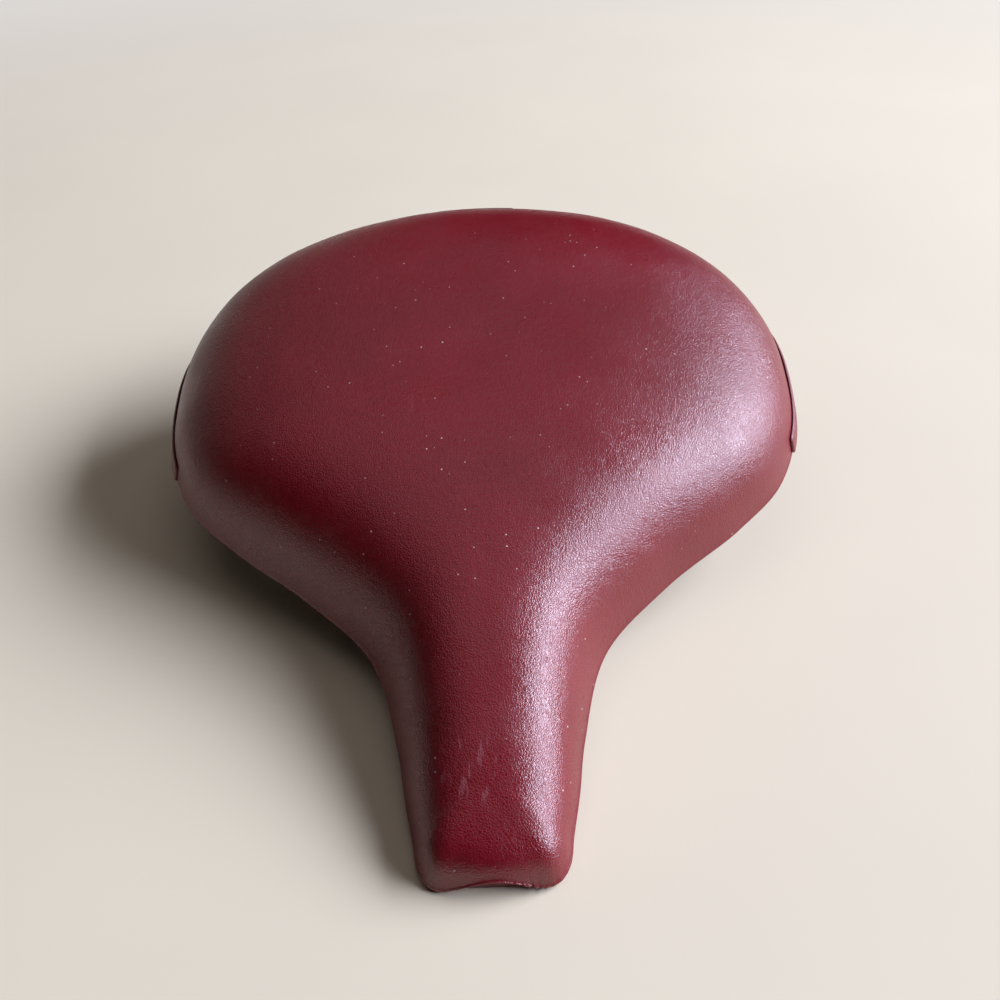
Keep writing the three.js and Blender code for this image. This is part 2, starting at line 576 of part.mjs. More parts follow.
function innerCheek(side) {
  const x0 = INNER_CHEEK_X + SERRATION.height;
  const x1 = RAIL_SPACING / 2 - CHEEK_SPLIT / 2;
  const r = CHEEK_D / 2;
  const disc = alongX(turned([[0, x0], [r - 1, x0], [r, x0 + 1], [r, x1], [0, x1]], 28));
  const star = Array.from({ length: 2 * SERRATION.teeth }, (_, i) => {
    const a = (Math.PI * i) / SERRATION.teeth;
    const toothR = r - 2 - (i % 2) * SERRATION.depth;
    return [toothR * Math.cos(a), toothR * Math.sin(a)];
  });
  const serrated = alongX(extruded(star, SERRATION.height + 0.5).translate(0, 0, INNER_CHEEK_X));
  const hole = alongX(rod(CLAMP_BOLT_D / 2 + GAP, 0, 60));
  const cheek = solidOf(disc).add(solidOf(serrated)).subtract(solidOf(hole))
    .subtract(grooves(RAIL_SPACING / 2));
  return mirrored(geometryOf(cheek), side);
}

function outerCheek(side) {
  const x0 = OUTER_CHEEK_X;
  const x1 = OUTER_CHEEK_END;
  const r = CHEEK_D / 2;
  const disc = alongX(turned([[0, x0], [r, x0], [r, x1 - 2.4], [r - 2.4, x1], [0, x1]], 28));
  const hole = alongX(rod(CLAMP_BOLT_D / 2 + GAP, 0, 60));
  const cheek = solidOf(disc).subtract(solidOf(hole)).subtract(grooves(RAIL_SPACING / 2));
  return mirrored(geometryOf(cheek), side);
}

function clampBolt() {
  const end = CLAMP_NUT_X + HEX[CLAMP_BOLT_D].height + 2.6;
  const r = CLAMP_BOLT_D / 2;
  const threadStart = end - 3.8;
  const left = threadCorners(r, -end, -threadStart, 1.25);
  const right = threadCorners(r, threadStart, end, 1.25);
  return alongX(turned([[0, -end], ...left, [r, -threadStart], [r, threadStart], ...right, [0, end]], 14));
}

// ---------------------------------------------------------------- assembly

const SIDES = [['left', -1], ['right', 1]];

add('cover_skin', coverSkin(), VINYL);
add('foam_pad', foamPad(), FOAM);
add('base_pan', basePan(), BLACK_STEEL);
add('nose_lip', noseLip(), VINYL);
add('rear_trim_band', trimBand(), TRIM_VINYL);
add('rear_badge_plate', badgePlate(), BADGE_METAL);
add('rear_channel', rearChannel(), BLACK_STEEL);
add('rear_crossbar', geometryOf(rearCrossbar()), ZINC).position.set(0, SPRING.y, CROSSBAR_Z);

for (const [name, side] of SIDES) {
  add(`nose_lug_${name}`, noseLug(side), BLACK_STEEL);
  add(`rail_${name}`, rail(side), ZINC);
  const spring = new THREE.Group();
  spring.position.set(side * SPRING.x, SPRING.y, 0);
  model.add(spring);
  add(`coil_spring_${name}`, coilSpring(), SPRING_STEEL, spring).position.z = SPRING_Z;
  add(`lower_spring_cup_${name}`, springCup(), ZINC, spring).position.z = LOWER_CUP_Z;
  const lowerBolt = bolt(SPRING_BOLT_D, SPRING_Z - 0.4, 1.2);
  add(`lower_spring_bolt_${name}`, lowerBolt, ZINC, spring).position.z = SPRING_Z;
  add(`lower_spring_nut_${name}`, nut(SPRING_BOLT_D), ZINC, spring);
  const upperCup = springCup().rotateX(Math.PI);
  add(`upper_spring_cup_${name}`, upperCup, ZINC, spring).position.z = UPPER_CUP_Z + CUP.thickness;
  const boltTop = CHANNEL_Z + CHANNEL.thickness + GAP;
  const nutTop = UPPER_CUP_Z - GAP;
  const reach = boltTop - nutTop + SPRING_HEX.height + 1.4;
  add(`upper_spring_bolt_${name}`, bolt(SPRING_BOLT_D, reach, 2.4), ZINC, spring).position.z = boltTop;
  add(`upper_spring_nut_${name}`, nut(SPRING_BOLT_D), ZINC, spring).position.z = nutTop - SPRING_HEX.height;
}

const pivotReach = LUG_GAP / 2 + LUG.thickness + RUNNING + NOSE_EYE_WIDTH + GAP;
const pivot = new THREE.Group();
pivot.position.copy(PIVOT);
model.add(pivot);
const pivotLength = 2 * pivotReach + PIVOT_HEX.height - 0.4;
add('nose_pivot_bolt', alongX(bolt(PIVOT_BOLT_D, pivotLength, 1.2)), ZINC, pivot).position.x = pivotReach;
add('nose_pivot_nut', alongX(nut(PIVOT_BOLT_D)), ZINC, pivot).position.x = -pivotReach - PIVOT_HEX.height;

const clamp = new THREE.Group();
clamp.position.copy(CLAMP);
clamp.rotation.x = RAIL_SLOPE;
model.add(clamp);
add('post_band', postBand(), ZINC, clamp);
add('clamp_bolt', clampBolt(), ZINC, clamp);
for (const [name, side] of SIDES) {
  add(`inner_cheek_${name}`, innerCheek(side), ZINC, clamp);
  add(`outer_cheek_${name}`, outerCheek(side), ZINC, clamp);
  const washer = ringPiece(CLAMP_BOLT_D / 2 + GAP, WASHER.outer / 2, WASHER_X, WASHER_X + WASHER.thickness);
  add(`clamp_washer_${name}`, mirrored(alongX(washer), side), ZINC, clamp);
  const clampNut = nut(CLAMP_BOLT_D).translate(0, 0, CLAMP_NUT_X);
  add(`clamp_nut_${name}`, mirrored(alongX(clampNut), side), ZINC, clamp);
}

model.position.y = -(TRIM.thickness + GAP) / 2; // puts the origin under the middle of saddle and trim
export default model;
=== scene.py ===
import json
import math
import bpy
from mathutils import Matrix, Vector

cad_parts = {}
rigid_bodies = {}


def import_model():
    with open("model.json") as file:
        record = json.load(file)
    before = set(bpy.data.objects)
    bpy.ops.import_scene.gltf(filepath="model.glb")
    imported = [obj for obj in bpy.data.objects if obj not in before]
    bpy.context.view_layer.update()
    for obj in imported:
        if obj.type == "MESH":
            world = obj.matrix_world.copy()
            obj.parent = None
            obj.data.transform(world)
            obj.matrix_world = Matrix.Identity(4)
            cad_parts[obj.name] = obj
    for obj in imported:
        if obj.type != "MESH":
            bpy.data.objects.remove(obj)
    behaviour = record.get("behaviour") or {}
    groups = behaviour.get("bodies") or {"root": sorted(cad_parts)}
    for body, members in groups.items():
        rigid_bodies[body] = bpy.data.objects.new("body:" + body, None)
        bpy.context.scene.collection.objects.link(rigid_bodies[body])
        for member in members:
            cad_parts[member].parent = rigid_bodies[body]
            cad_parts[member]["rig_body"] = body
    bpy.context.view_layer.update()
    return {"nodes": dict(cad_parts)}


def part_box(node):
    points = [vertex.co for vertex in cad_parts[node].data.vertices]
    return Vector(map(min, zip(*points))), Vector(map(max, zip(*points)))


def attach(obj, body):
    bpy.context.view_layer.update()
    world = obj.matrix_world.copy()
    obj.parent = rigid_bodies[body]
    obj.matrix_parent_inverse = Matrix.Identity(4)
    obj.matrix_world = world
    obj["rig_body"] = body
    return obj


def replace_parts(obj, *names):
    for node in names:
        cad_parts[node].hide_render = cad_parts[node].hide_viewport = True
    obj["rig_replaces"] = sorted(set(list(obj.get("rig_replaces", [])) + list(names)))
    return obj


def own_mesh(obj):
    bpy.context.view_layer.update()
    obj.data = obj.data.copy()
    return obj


bl_info = {
    "name": "Sprung Bicycle Saddle",
    "version": (1, 0, 0),
    "blender": (4, 5, 0),
    "location": "View3D > Sidebar > Saddle",
    "description": "Builds the padded cover, springs, rails and clamp of a sprung bicycle saddle",
    "category": "Mesh",
}

import bmesh
import bpy
import numpy as np
from bpy.props import FloatProperty, FloatVectorProperty, IntProperty, PointerProperty
from mathutils import Matrix, Vector, noise

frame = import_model()

# ------------------------------------------------------------------ sizes, in metres, as the CAD part has them

COVER_LO, COVER_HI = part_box("cover_skin")
FRONT = COVER_LO.y
LENGTH = COVER_HI.y - COVER_LO.y
WING_HALF = (COVER_HI.x - COVER_LO.x) / 2
NOSE_HALF = 0.021
NOSE_FLARE = 0.0055
HEM_CLEAR, HEM_RISE = 0.0003, 0.0417
TOP_NOSE, TOP_REAR = 0.011, 0.088
NOSE_SPINE, REAR_SPINE = FRONT + 0.02, FRONT + LENGTH - 0.0686
ARCH_WIDTH, ARCH_HEIGHT = 0.027, 0.0046
GAP, LAYER_GAP = 0.0003, 0.00045
FOAM_TOP = (0.002, 0.015)  # at the nose and on the wings
FOAM_WALL = (0.0025, 0.007)
PAN = 0.0014
HEM_TURN = 0.0025
LIP_SETBACK, LIP_DEPTH = 0.0014, 0.005
TRIM_LOW, TRIM_HIGH, TRIM_START = 0.0006, 0.0068, 0.49
BADGE_LOW, BADGE_HIGH, BADGE_WIDTH, BADGE_THICKNESS = 0.27, 0.47, 0.033, 0.0007
COIL_D, WIRE_D, TURNS = 0.0238, 0.004, 4.5  # the coil has a little room to shift in its cups
CAMERA_AT = (0.0079, -0.2739, 0.2347)
CAMERA_PITCH, CAMERA_YAW, CAMERA_ROLL = (math.radians(a) for a in (38.4, -0.6, -2.96))
CLOSE = 0.00005  # between the cover and what lies on it

BACKDROP = (0.76, 0.74, 0.73, 1)  # what the camera sees far off, as a colour

# ------------------------------------------------------------------ the cover's form


def smooth_line(table, at):
    """A smooth line through [place, value] pairs, read at an array of places."""
    xs, ys = (np.array(column, float) for column in zip(*table))
    slopes = np.zeros(len(xs))
    for k in range(len(xs)):
        a, b = max(0, k - 1), min(len(xs) - 1, k + 1)
        slopes[k] = (ys[b] - ys[a]) / (xs[b] - xs[a])
    i = np.clip(np.searchsorted(xs, at, side="left") - 1, 0, len(xs) - 2)
    h = xs[i + 1] - xs[i]
    t = np.clip((at - xs[i]) / h, 0, 1)
    u = 1 - t
    return (u * u * (1 + 2 * t) * ys[i] + t * u * u * h * slopes[i]
            + t * t * (3 - 2 * t) * ys[i + 1] - t * t * u * h * slopes[i + 1])


HEM_LINE = [(0, 0), (0.133, 0.09), (0.35, 0.33), (0.57, 0.66), (0.75, 0.86), (1, 1)]
TOP_LINE = [(0, 0), (0.042, 0.055), (0.133, 0.19), (0.28, 0.39), (0.424, 0.56), (0.57, 0.688),
            (0.716, 0.817), (0.86, 0.934), (1, 1)]
ROUNDNESS = [(0, 5), (0.05, 3.1), (0.25, 2.9), (0.6, 2.8), (1, 2.6)]
DRAFT = [(0, 0.003), (0.25, 0.007), (0.6, 0.009), (0.85, 0.008), (1, 0.006)]


def share_at(y):
    return (y - FRONT) / LENGTH


def hem_at(y):
    return HEM_CLEAR + HEM_RISE * smooth_line(HEM_LINE, share_at(y))


def top_at(y):
    return TOP_NOSE + (TOP_REAR - TOP_NOSE) * smooth_line(TOP_LINE, share_at(y))


def wingward(pair, y):
    """From a value at the nose to one on the wings."""
    t = np.clip((share_at(y) - 0.2) / 0.3, 0, 1)
    return pair[0] + (pair[1] - pair[0]) * t * t * (3 - 2 * t)


def half_outline():
    """Half of the hem's outline, from the middle of the nose to the middle of the rear."""
    nose = [(0, 0), (-0.011, 0.0003), (-0.0046, 0.0018), (-0.0014, 0.006), (0.0003, 0.0145), (0.0027, 0.026),
            (NOSE_FLARE, 0.042)]
    wing = [(0.315, 0.26), (0.51, 0.344), (0.735, 0.417), (0.885, 0.479), (0.967, 0.552), (1, 0.644),
            (0.99, 0.734), (0.9, 0.832), (0.705, 0.916), (0.4, 0.975), (0, 1)]
    points = [(0 if i == 0 else NOSE_HALF + x, FRONT + y) for i, (x, y) in enumerate(nose)]
    return points + [(x * WING_HALF, FRONT + y * LENGTH) for x, y in wing]


def outline_samples(per_span=60):
    """Places along the closed hem and their share of its length, on a centripetal curve through its corners."""
    half = half_outline()
    corners = np.array(half + [(-x, y) for x, y in half[-2:0:-1]])
    found = []
    for i in range(len(corners)):
        p = [corners[(i + k) % len(corners)] for k in (-1, 0, 1, 2)]
        d = [math.dist(p[k], p[k + 1]) ** 0.5 for k in range(3)]
        t1 = ((p[1] - p[0]) / d[0] - (p[2] - p[0]) / (d[0] + d[1]) + (p[2] - p[1]) / d[1]) * d[1]
        t2 = ((p[2] - p[1]) / d[1] - (p[3] - p[1]) / (d[1] + d[2]) + (p[3] - p[2]) / d[2]) * d[1]
        for t in np.arange(per_span) / per_span:
            found.append(p[1] + t1 * t + (3 * (p[2] - p[1]) - 2 * t1 - t2) * t * t
                         + (2 * (p[1] - p[2]) + t1 + t2) * t ** 3)
    found.append(found[0])
    line = np.array(found)
    run = np.concatenate([[0], np.cumsum(np.linalg.norm(np.diff(line, axis=0), axis=1))])
    return line, run / run[-1], run[-1]


HEM_PLACES, HEM_SHARES, HEM_ROUND = outline_samples()


def on_hem(share):
    """The hem's place and outward direction at shares of its whole round: 0 at the nose, 0.5 at the rear."""
    step = 0.0004
    at = np.stack([np.interp(share % 1, HEM_SHARES, HEM_PLACES[:, k]) for k in (0, 1)], 1)
    ahead = np.stack([np.interp((share + step) % 1, HEM_SHARES, HEM_PLACES[:, k]) for k in (0, 1)], 1)
    behind = np.stack([np.interp((share - step) % 1, HEM_SHARES, HEM_PLACES[:, k]) for k in (0, 1)], 1)
    along = ahead - behind
    along /= np.linalg.norm(along, axis=1)[:, None]
    at[(share == 0) | (share == 0.5) | (share == 1), 0] = 0
    return at, np.stack([along[:, 1], -along[:, 0]], 1)


def layer(share, turn, side=0.0, top=0.0, lift=0.0):
    """Points of a layer of the saddle: turn 0 is at the hem and 1 on the ridge. side and top are how deep the
    layer lies inside the cover's outer face, and may be functions of y; lift raises its lower edge."""
    at, out = on_hem(share)
    side = side(at[:, 1]) if callable(side) else side
    top = top(at[:, 1]) if callable(top) else top
    ridge = np.stack([np.zeros(len(at)), np.clip(at[:, 1], NOSE_SPINE, REAR_SPINE)], 1)
    inward = ridge - at
    reach = np.linalg.norm(inward, axis=1)
    facing = np.maximum(0.35, -(inward * out).sum(1) / reach)
    foot = at + inward * (side / facing / reach)[:, None]
    n = smooth_line(ROUNDNESS, share_at(at[:, 1]))
    c = np.clip(np.cos(turn * math.pi / 2), 0, 1) ** (2 / n)
    s = np.clip(np.sin(turn * math.pi / 2), 0, 1) ** (2 / n)
    arm = foot - ridge
    d = np.minimum(smooth_line(DRAFT, share_at(at[:, 1])) / np.linalg.norm(arm, axis=1), 0.45)
    k = np.where(turn >= 1, 0, c * (1 - d) + d * (1 - s))
    flat = ridge + arm * k[:, None]
    arched = (np.abs(at[:, 0]) < ARCH_WIDTH / 2) & (at[:, 1] < FRONT + 0.004)
    arch = ARCH_HEIGHT * np.clip(np.cos(math.pi * at[:, 0] / ARCH_WIDTH), 0, 1) ** 1.3
    hem = hem_at(at[:, 1]) + np.where(arched, arch, 0) + lift
    z = hem * (1 - s) + (top_at(flat[:, 1]) - top) * s
    return np.column_stack([flat, z])


def turn_of(share, height):
    """How many turns up the form a height above the hem is."""
    at, _ = on_hem(share)
    wall = top_at(at[:, 1]) - hem_at(at[:, 1])
    n = smooth_line(ROUNDNESS, share_at(at[:, 1]))
    return 2 / math.pi * np.arcsin(np.clip(height / wall, 0, 1) ** (n / 2))


SKIN = 0.0018
FOAM_OUT = SKIN + LAYER_GAP


def foam_wall(y):
    return FOAM_OUT + wingward(FOAM_WALL, y)


def foam_top(y):
    return FOAM_OUT + wingward(FOAM_TOP, y)


def pan_wall(y):
    return foam_wall(y) + LAYER_GAP + PAN


def pan_top(y):
    return foam_top(y) + LAYER_GAP + PAN


def nose_first(share):
    """Shares of the round that lie closer together at the nose, where the hem turns most tightly."""
    half = 1 - np.abs(2 * share - 1)
    spread = half * (0.45 + 0.55 * half) / 2
    return np.where(share <= 0.5, spread, 1 - spread)


def eased(level):
    """Levels that lie closer together at both ends."""
    return level ** 1.5 / (level ** 1.5 + (1 - level) ** 1.5)


# ------------------------------------------------------------------ helpers for meshes


def finish_mesh(bm, name, body, material, replaces=(), smooth=True):
    """Makes a bmesh a finished piece that rides on a body and stands for CAD nodes."""
    mesh = bpy.data.meshes.new(name)
    for face in bm.faces:
        face.smooth = smooth
    bm.to_mesh(mesh)
    bm.free()
    piece = bpy.data.objects.new(name, mesh)
    bpy.context.scene.collection.objects.link(piece)
    mesh.materials.append(material)
    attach(piece, body)
    if replaces:
        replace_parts(piece, *replaces)
    return piece


def formed_grid(around, up, place):
    """A grid of faces bent to a form: place gives a point for each share across and level up, both 0 to 1."""
    bm = bmesh.new()
    bmesh.ops.create_grid(bm, x_segments=around, y_segments=up, size=0.5)
    at = np.array([v.co for v in bm.verts])
    at = (at - at.min(0)) / np.maximum(at.max(0) - at.min(0), 1e-9)
    for v, point in zip(bm.verts, place(np.round(at[:, 0], 6), np.round(at[:, 1], 6))):
        v.co = point
    bmesh.ops.remove_doubles(bm, verts=bm.verts, dist=2e-6)
    bmesh.ops.dissolve_degenerate(bm, edges=bm.edges, dist=1e-7)
    bmesh.ops.recalc_face_normals(bm, faces=bm.faces)
    top = max(bm.faces, key=lambda f: f.calc_center_median().z)
    if top.normal.z < 0 and abs(top.normal.z) > 0.2:
        bmesh.ops.reverse_faces(bm, faces=bm.faces)
    return bm


def add_modifier(piece, kind, **values):
    modifier = piece.modifiers.new(kind.title().replace("_", " "), kind)
    for key, value in values.items():
        setattr(modifier, key, value)
    return modifier


def rounded_loop(level, width, depth, radius):
    """Points across and out on a rounded rectangle's outline, at levels 0 to 1 round it."""
    corners = [(width - radius, depth - radius, 0), (radius, depth - radius, 1),
               (radius, radius, 2), (width - radius, radius, 3)]
    points = []
    for x, y, quarter in corners:
        for step in range(5):
            a = (quarter + step / 4) * math.pi / 2
            points.append((x + radius * math.cos(a), y + radius * math.sin(a)))
    points.append(points[0])
    line = np.array(points)
    run = np.concatenate([[0], np.cumsum(np.linalg.norm(np.diff(line, axis=0), axis=1))])
    where = np.linspace(0, 1, len(line))
    return np.interp(level, where, line[:, 0]), np.interp(level, where, line[:, 1])


# ------------------------------------------------------------------ helpers for materials


def shader_group(name, sockets, outputs):
    """An empty shader node group with float inputs and named outputs."""
    tree = bpy.data.node_groups.new(name, "ShaderNodeTree")
    for label, kind, default in sockets:
        socket = tree.interface.new_socket(label, in_out="INPUT", socket_type=kind)
        if default is not None:
            socket.default_value = default
    for label, kind in outputs:
        tree.interface.new_socket(label, in_out="OUTPUT", socket_type=kind)
    return tree, tree.nodes.new("NodeGroupInput"), tree.nodes.new("NodeGroupOutput")


class Wiring:
    """Short calls for adding linked nodes to one tree."""

    def __init__(self, tree):
        self.tree = tree

    def node(self, kind, inputs=None, **settings):
        made = self.tree.nodes.new(kind)
        for key, value in settings.items():
            setattr(made, key, value)
        for key, value in (inputs or {}).items():
            self.feed(made.inputs[key], value)
        return made

    def feed(self, socket, value):
        if isinstance(value, bpy.types.NodeSocket):
            self.tree.links.new(value, socket)
        else:
            socket.default_value = value

    def math(self, operation, a, b=0.0, clamp=False):
        return self.node("ShaderNodeMath", {0: a, 1: b}, operation=operation, use_clamp=clamp).outputs[0]

    def ramp(self, value, low, high, to_low=0.0, to_high=1.0):
        return self.node("ShaderNodeMapRange", {"Value": value, "From Min": low, "From Max": high,
                                                "To Min": to_low, "To Max": to_high},
                         interpolation_type="SMOOTHSTEP").outputs["Result"]

    def mix(self, factor, a, b):
        made = self.node("ShaderNodeMix", data_type="RGBA")
        self.feed(made.inputs[0], factor)
        self.feed(made.inputs[6], a)
        self.feed(made.inputs[7], b)
        return made.outputs[2]

    def noise(self, vector, scale, detail=2.0, rough=0.5):
        return self.node("ShaderNodeTexNoise", {"Vector": vector, "Scale": scale, "Detail": detail,
                                                "Roughness": rough}).outputs["Fac"]

    def stretched(self, vector, scale, turn=(0, 0, 0)):
        return self.node("ShaderNodeMapping", {"Vector": vector, "Scale": scale, "Rotation": turn}).outputs[0]


def leather_grain_group():
    """Pebbled grain with creases between the pebbles, and finer pores."""
    tree, given, out = shader_group(
        "Leather Grain",
        [("Vector", "NodeSocketVector", None), ("Scale", "NodeSocketFloat", 900.0),
         ("Crease", "NodeSocketFloat", 0.5)],
        [("Height", "NodeSocketFloat"), ("Creases", "NodeSocketFloat")])
    w = Wiring(tree)
    wobble = w.node("ShaderNodeTexNoise", {"Vector": given.outputs["Vector"], "Scale": 260.0, "Detail": 2.0})
    shifted = w.node("ShaderNodeVectorMath", {0: wobble.outputs["Color"], 1: (0.0016,) * 3},
                     operation="MULTIPLY")
    at = w.node("ShaderNodeVectorMath", {0: given.outputs["Vector"], 1: shifted.outputs[0]},
                operation="ADD").outputs[0]
    cells = w.node("ShaderNodeTexVoronoi", {"Vector": at, "Scale": given.outputs["Scale"]},
                   feature="DISTANCE_TO_EDGE").outputs["Distance"]
    pebble = w.ramp(cells, 0.0, 0.28)
    fine = w.noise(given.outputs["Vector"], w.math("MULTIPLY", given.outputs["Scale"], 2.6), 3.0, 0.6)
    folds = w.noise(at, w.math("MULTIPLY", given.outputs["Scale"], 0.42), 2.0, 0.55)
    creased = w.math("MULTIPLY", w.ramp(folds, 0.35, 0.65), given.outputs["Crease"])
    height = w.math("ADD", w.math("MULTIPLY", pebble, 0.55), w.math("MULTIPLY", fine, 0.35))
    w.feed(out.inputs["Height"], w.math("ADD", height, creased))
    w.feed(out.inputs["Creases"], w.ramp(cells, 0.0, 0.12, 1.0, 0.0))
    return tree


def dust_group():
    """Loose pale specks and a thin film, more of it where the surface faces up."""
    tree, given, out = shader_group(
        "Dust",
        [("Vector", "NodeSocketVector", None), ("Amount", "NodeSocketFloat", 0.5),
         ("Normal", "NodeSocketVector", None)],
        [("Specks", "NodeSocketFloat"), ("Film", "NodeSocketFloat")])
    w = Wiring(tree)
    cells = w.node("ShaderNodeTexVoronoi", {"Vector": given.outputs["Vector"], "Scale": 420.0}, feature="F1")
    chance = w.node("ShaderNodeSeparateColor", {"Color": cells.outputs["Color"]}).outputs[0]
    dot = w.ramp(cells.outputs["Distance"], 0.05, 0.16, 1.0, 0.0)
    rare = w.math("GREATER_THAN", chance, 0.86)
    patches = w.ramp(w.noise(given.outputs["Vector"], 34.0, 2.0), 0.3, 0.7, 0.25, 1.0)
    specks = w.math("MULTIPLY", w.math("MULTIPLY", dot, rare), patches)
    w.feed(out.inputs["Specks"], w.math("MULTIPLY", specks, given.outputs["Amount"]))
    up = w.node("ShaderNodeSeparateXYZ", {"Vector": given.outputs["Normal"]}).outputs["Z"]
    uneven = w.ramp(w.noise(given.outputs["Vector"], 60.0, 4.0, 0.65), 0.3, 0.75)
    film = w.math("MULTIPLY", w.ramp(up, 0.1, 0.95), uneven)
    w.feed(out.inputs["Film"], w.math("MULTIPLY", film, given.outputs["Amount"]))
    return tree


def scratches_group():
    """Hairline scratches in two directions, broken up into short runs."""
    tree, given, out = shader_group(
        "Hairlines",
        [("Vector", "NodeSocketVector", None), ("Amount", "NodeSocketFloat", 0.5)],
        [("Lines", "NodeSocketFloat")])
    w = Wiring(tree)
    lines = []
    for turn, scale in ((0.5, (900.0, 26.0, 60.0)), (-0.9, (22.0, 780.0, 60.0))):
        at = w.stretched(given.outputs["Vector"], scale, (0, 0, turn))
        lines.append(w.ramp(w.noise(at, 1.0, 2.0), 0.7, 0.76))
    runs = w.ramp(w.noise(given.outputs["Vector"], 70.0, 2.0), 0.52, 0.62)
    both = w.math("MAXIMUM", *lines)
    w.feed(out.inputs["Lines"], w.math("MULTIPLY", w.math("MULTIPLY", both, runs), given.outputs["Amount"]))
    return tree


def tarnish_group():
    """Clouded plating with small rust spots."""
    tree, given, out = shader_group(
        "Tarnish",
        [("Vector", "NodeSocketVector", None), ("Amount", "NodeSocketFloat", 0.5)],
        [("Cloud", "NodeSocketFloat"), ("Rust", "NodeSocketFloat"), ("Height", "NodeSocketFloat")])
    w = Wiring(tree)
    cloud = w.noise(given.outputs["Vector"], 120.0, 5.0, 0.65)
    w.feed(out.inputs["Cloud"], w.ramp(cloud, 0.3, 0.72))
    spots = w.noise(given.outputs["Vector"], 420.0, 4.0, 0.7)
    patches = w.ramp(w.noise(given.outputs["Vector"], 55.0, 2.0), 0.45, 0.7)
    reach = w.math("MULTIPLY", patches, given.outputs["Amount"])
    w.feed(out.inputs["Rust"], w.math("MULTIPLY", w.ramp(spots, 0.5, 0.66), reach))
    w.feed(out.inputs["Height"], w.noise(given.outputs["Vector"], 1500.0, 2.0, 0.5))
    return tree


GROUPS = {}


def groups():
    if not GROUPS:
        GROUPS.update(grain=leather_grain_group(), dust=dust_group(), hairlines=scratches_group(),
                      tarnish=tarnish_group())
    return GROUPS


def new_material(name):
    material = bpy.data.materials.new(name)
    material.use_nodes = True
    tree = material.node_tree
    tree.nodes.clear()
    w = Wiring(tree)
    shader = w.node("ShaderNodeBsdfPrincipled")
    w.node("ShaderNodeOutputMaterial", {"Surface": shader.outputs["BSDF"]})
    place = w.node("ShaderNodeTexCoord").outputs["Object"]
    return material, w, shader, place


def group_node(w, key, inputs):
    made = w.node("ShaderNodeGroup", node_tree=groups()[key])
    for label, value in inputs.items():
        w.feed(made.inputs[label], value)
    return made


def near(w, place, centre, reach):
    """A mask that fades from 1 at a point to 0 at a distance from it."""
    far = w.node("ShaderNodeVectorMath", {0: place, 1: centre}, operation="DISTANCE").outputs["Value"]
    return w.ramp(far, reach * 0.35, reach, 1.0, 0.0)


def vinyl_material(name, colour, grain, wear):
    """Burgundy leatherette: grain, creases with painted shade in them, dust in the grain, scuffs at the nose
    and worn patches.
    """
    material, w, shader, place = new_material(name)
    facing = w.node("ShaderNodeNewGeometry").outputs["Normal"]
    leather = group_node(w, "grain", {"Vector": place, "Scale": grain, "Crease": 0.35})
    dust = group_node(w, "dust", {"Vector": place, "Amount": 0.8 * wear, "Normal": facing})
    lines = group_node(w, "hairlines", {"Vector": place, "Amount": 0.12 * wear})
    cloud = w.noise(place, 17.0, 3.0, 0.55)
    deep = tuple(c * 0.9 for c in colour) + (1,)
    warm = (colour[0] * 1.08, colour[1] * 1.1, colour[2] * 1.1, 1)
    base = w.mix(w.ramp(cloud, 0.3, 0.7), deep, warm)
    # painted shade: the grain's creases are darkened to under half the cover colour
    painted_crease_shade = tuple(c * 0.45 for c in colour) + (1,)
    base = w.mix(w.math("MULTIPLY", leather.outputs["Creases"], 0.35), base, painted_crease_shade)
    strokes = w.noise(w.stretched(place, (900.0, 120.0, 300.0), (0, 0, 0.25)), 1.0, 2.0)
    scuff = w.math("MULTIPLY", near(w, place, (-0.006, -0.115, 0.021), 0.014), w.ramp(strokes, 0.56, 0.7))
    base = w.mix(w.math("MULTIPLY", scuff, 0.2 * wear), base, (0.4, 0.12, 0.15, 1))
    base = w.mix(w.math("MULTIPLY", dust.outputs["Film"], 0.003), base, (0.5, 0.38, 0.36, 1))
    base = w.mix(lines.outputs["Lines"], base, (0.34, 0.13, 0.15, 1))
    base = w.mix(dust.outputs["Specks"], base, (0.75, 0.66, 0.62, 1))
    w.feed(shader.inputs["Base Color"], base)
    rough = w.ramp(w.noise(place, 45.0, 4.0, 0.6), 0.3, 0.7, 0.27, 0.36)
    rough = w.math("ADD", rough, w.math("MULTIPLY", leather.outputs["Creases"], 0.12))
    dulled = w.math("MULTIPLY", w.math("ADD", dust.outputs["Specks"], scuff), 0.25)
    rough = w.math("ADD", rough, dulled, clamp=True)
    w.feed(shader.inputs["Roughness"], rough)
    shader.inputs["Specular IOR Level"].default_value = 0.9
    bump = w.node("ShaderNodeBump", {"Height": leather.outputs["Height"], "Strength": 0.31,
                                     "Distance": 0.00034})
    w.feed(shader.inputs["Normal"], bump.outputs["Normal"])
    return material


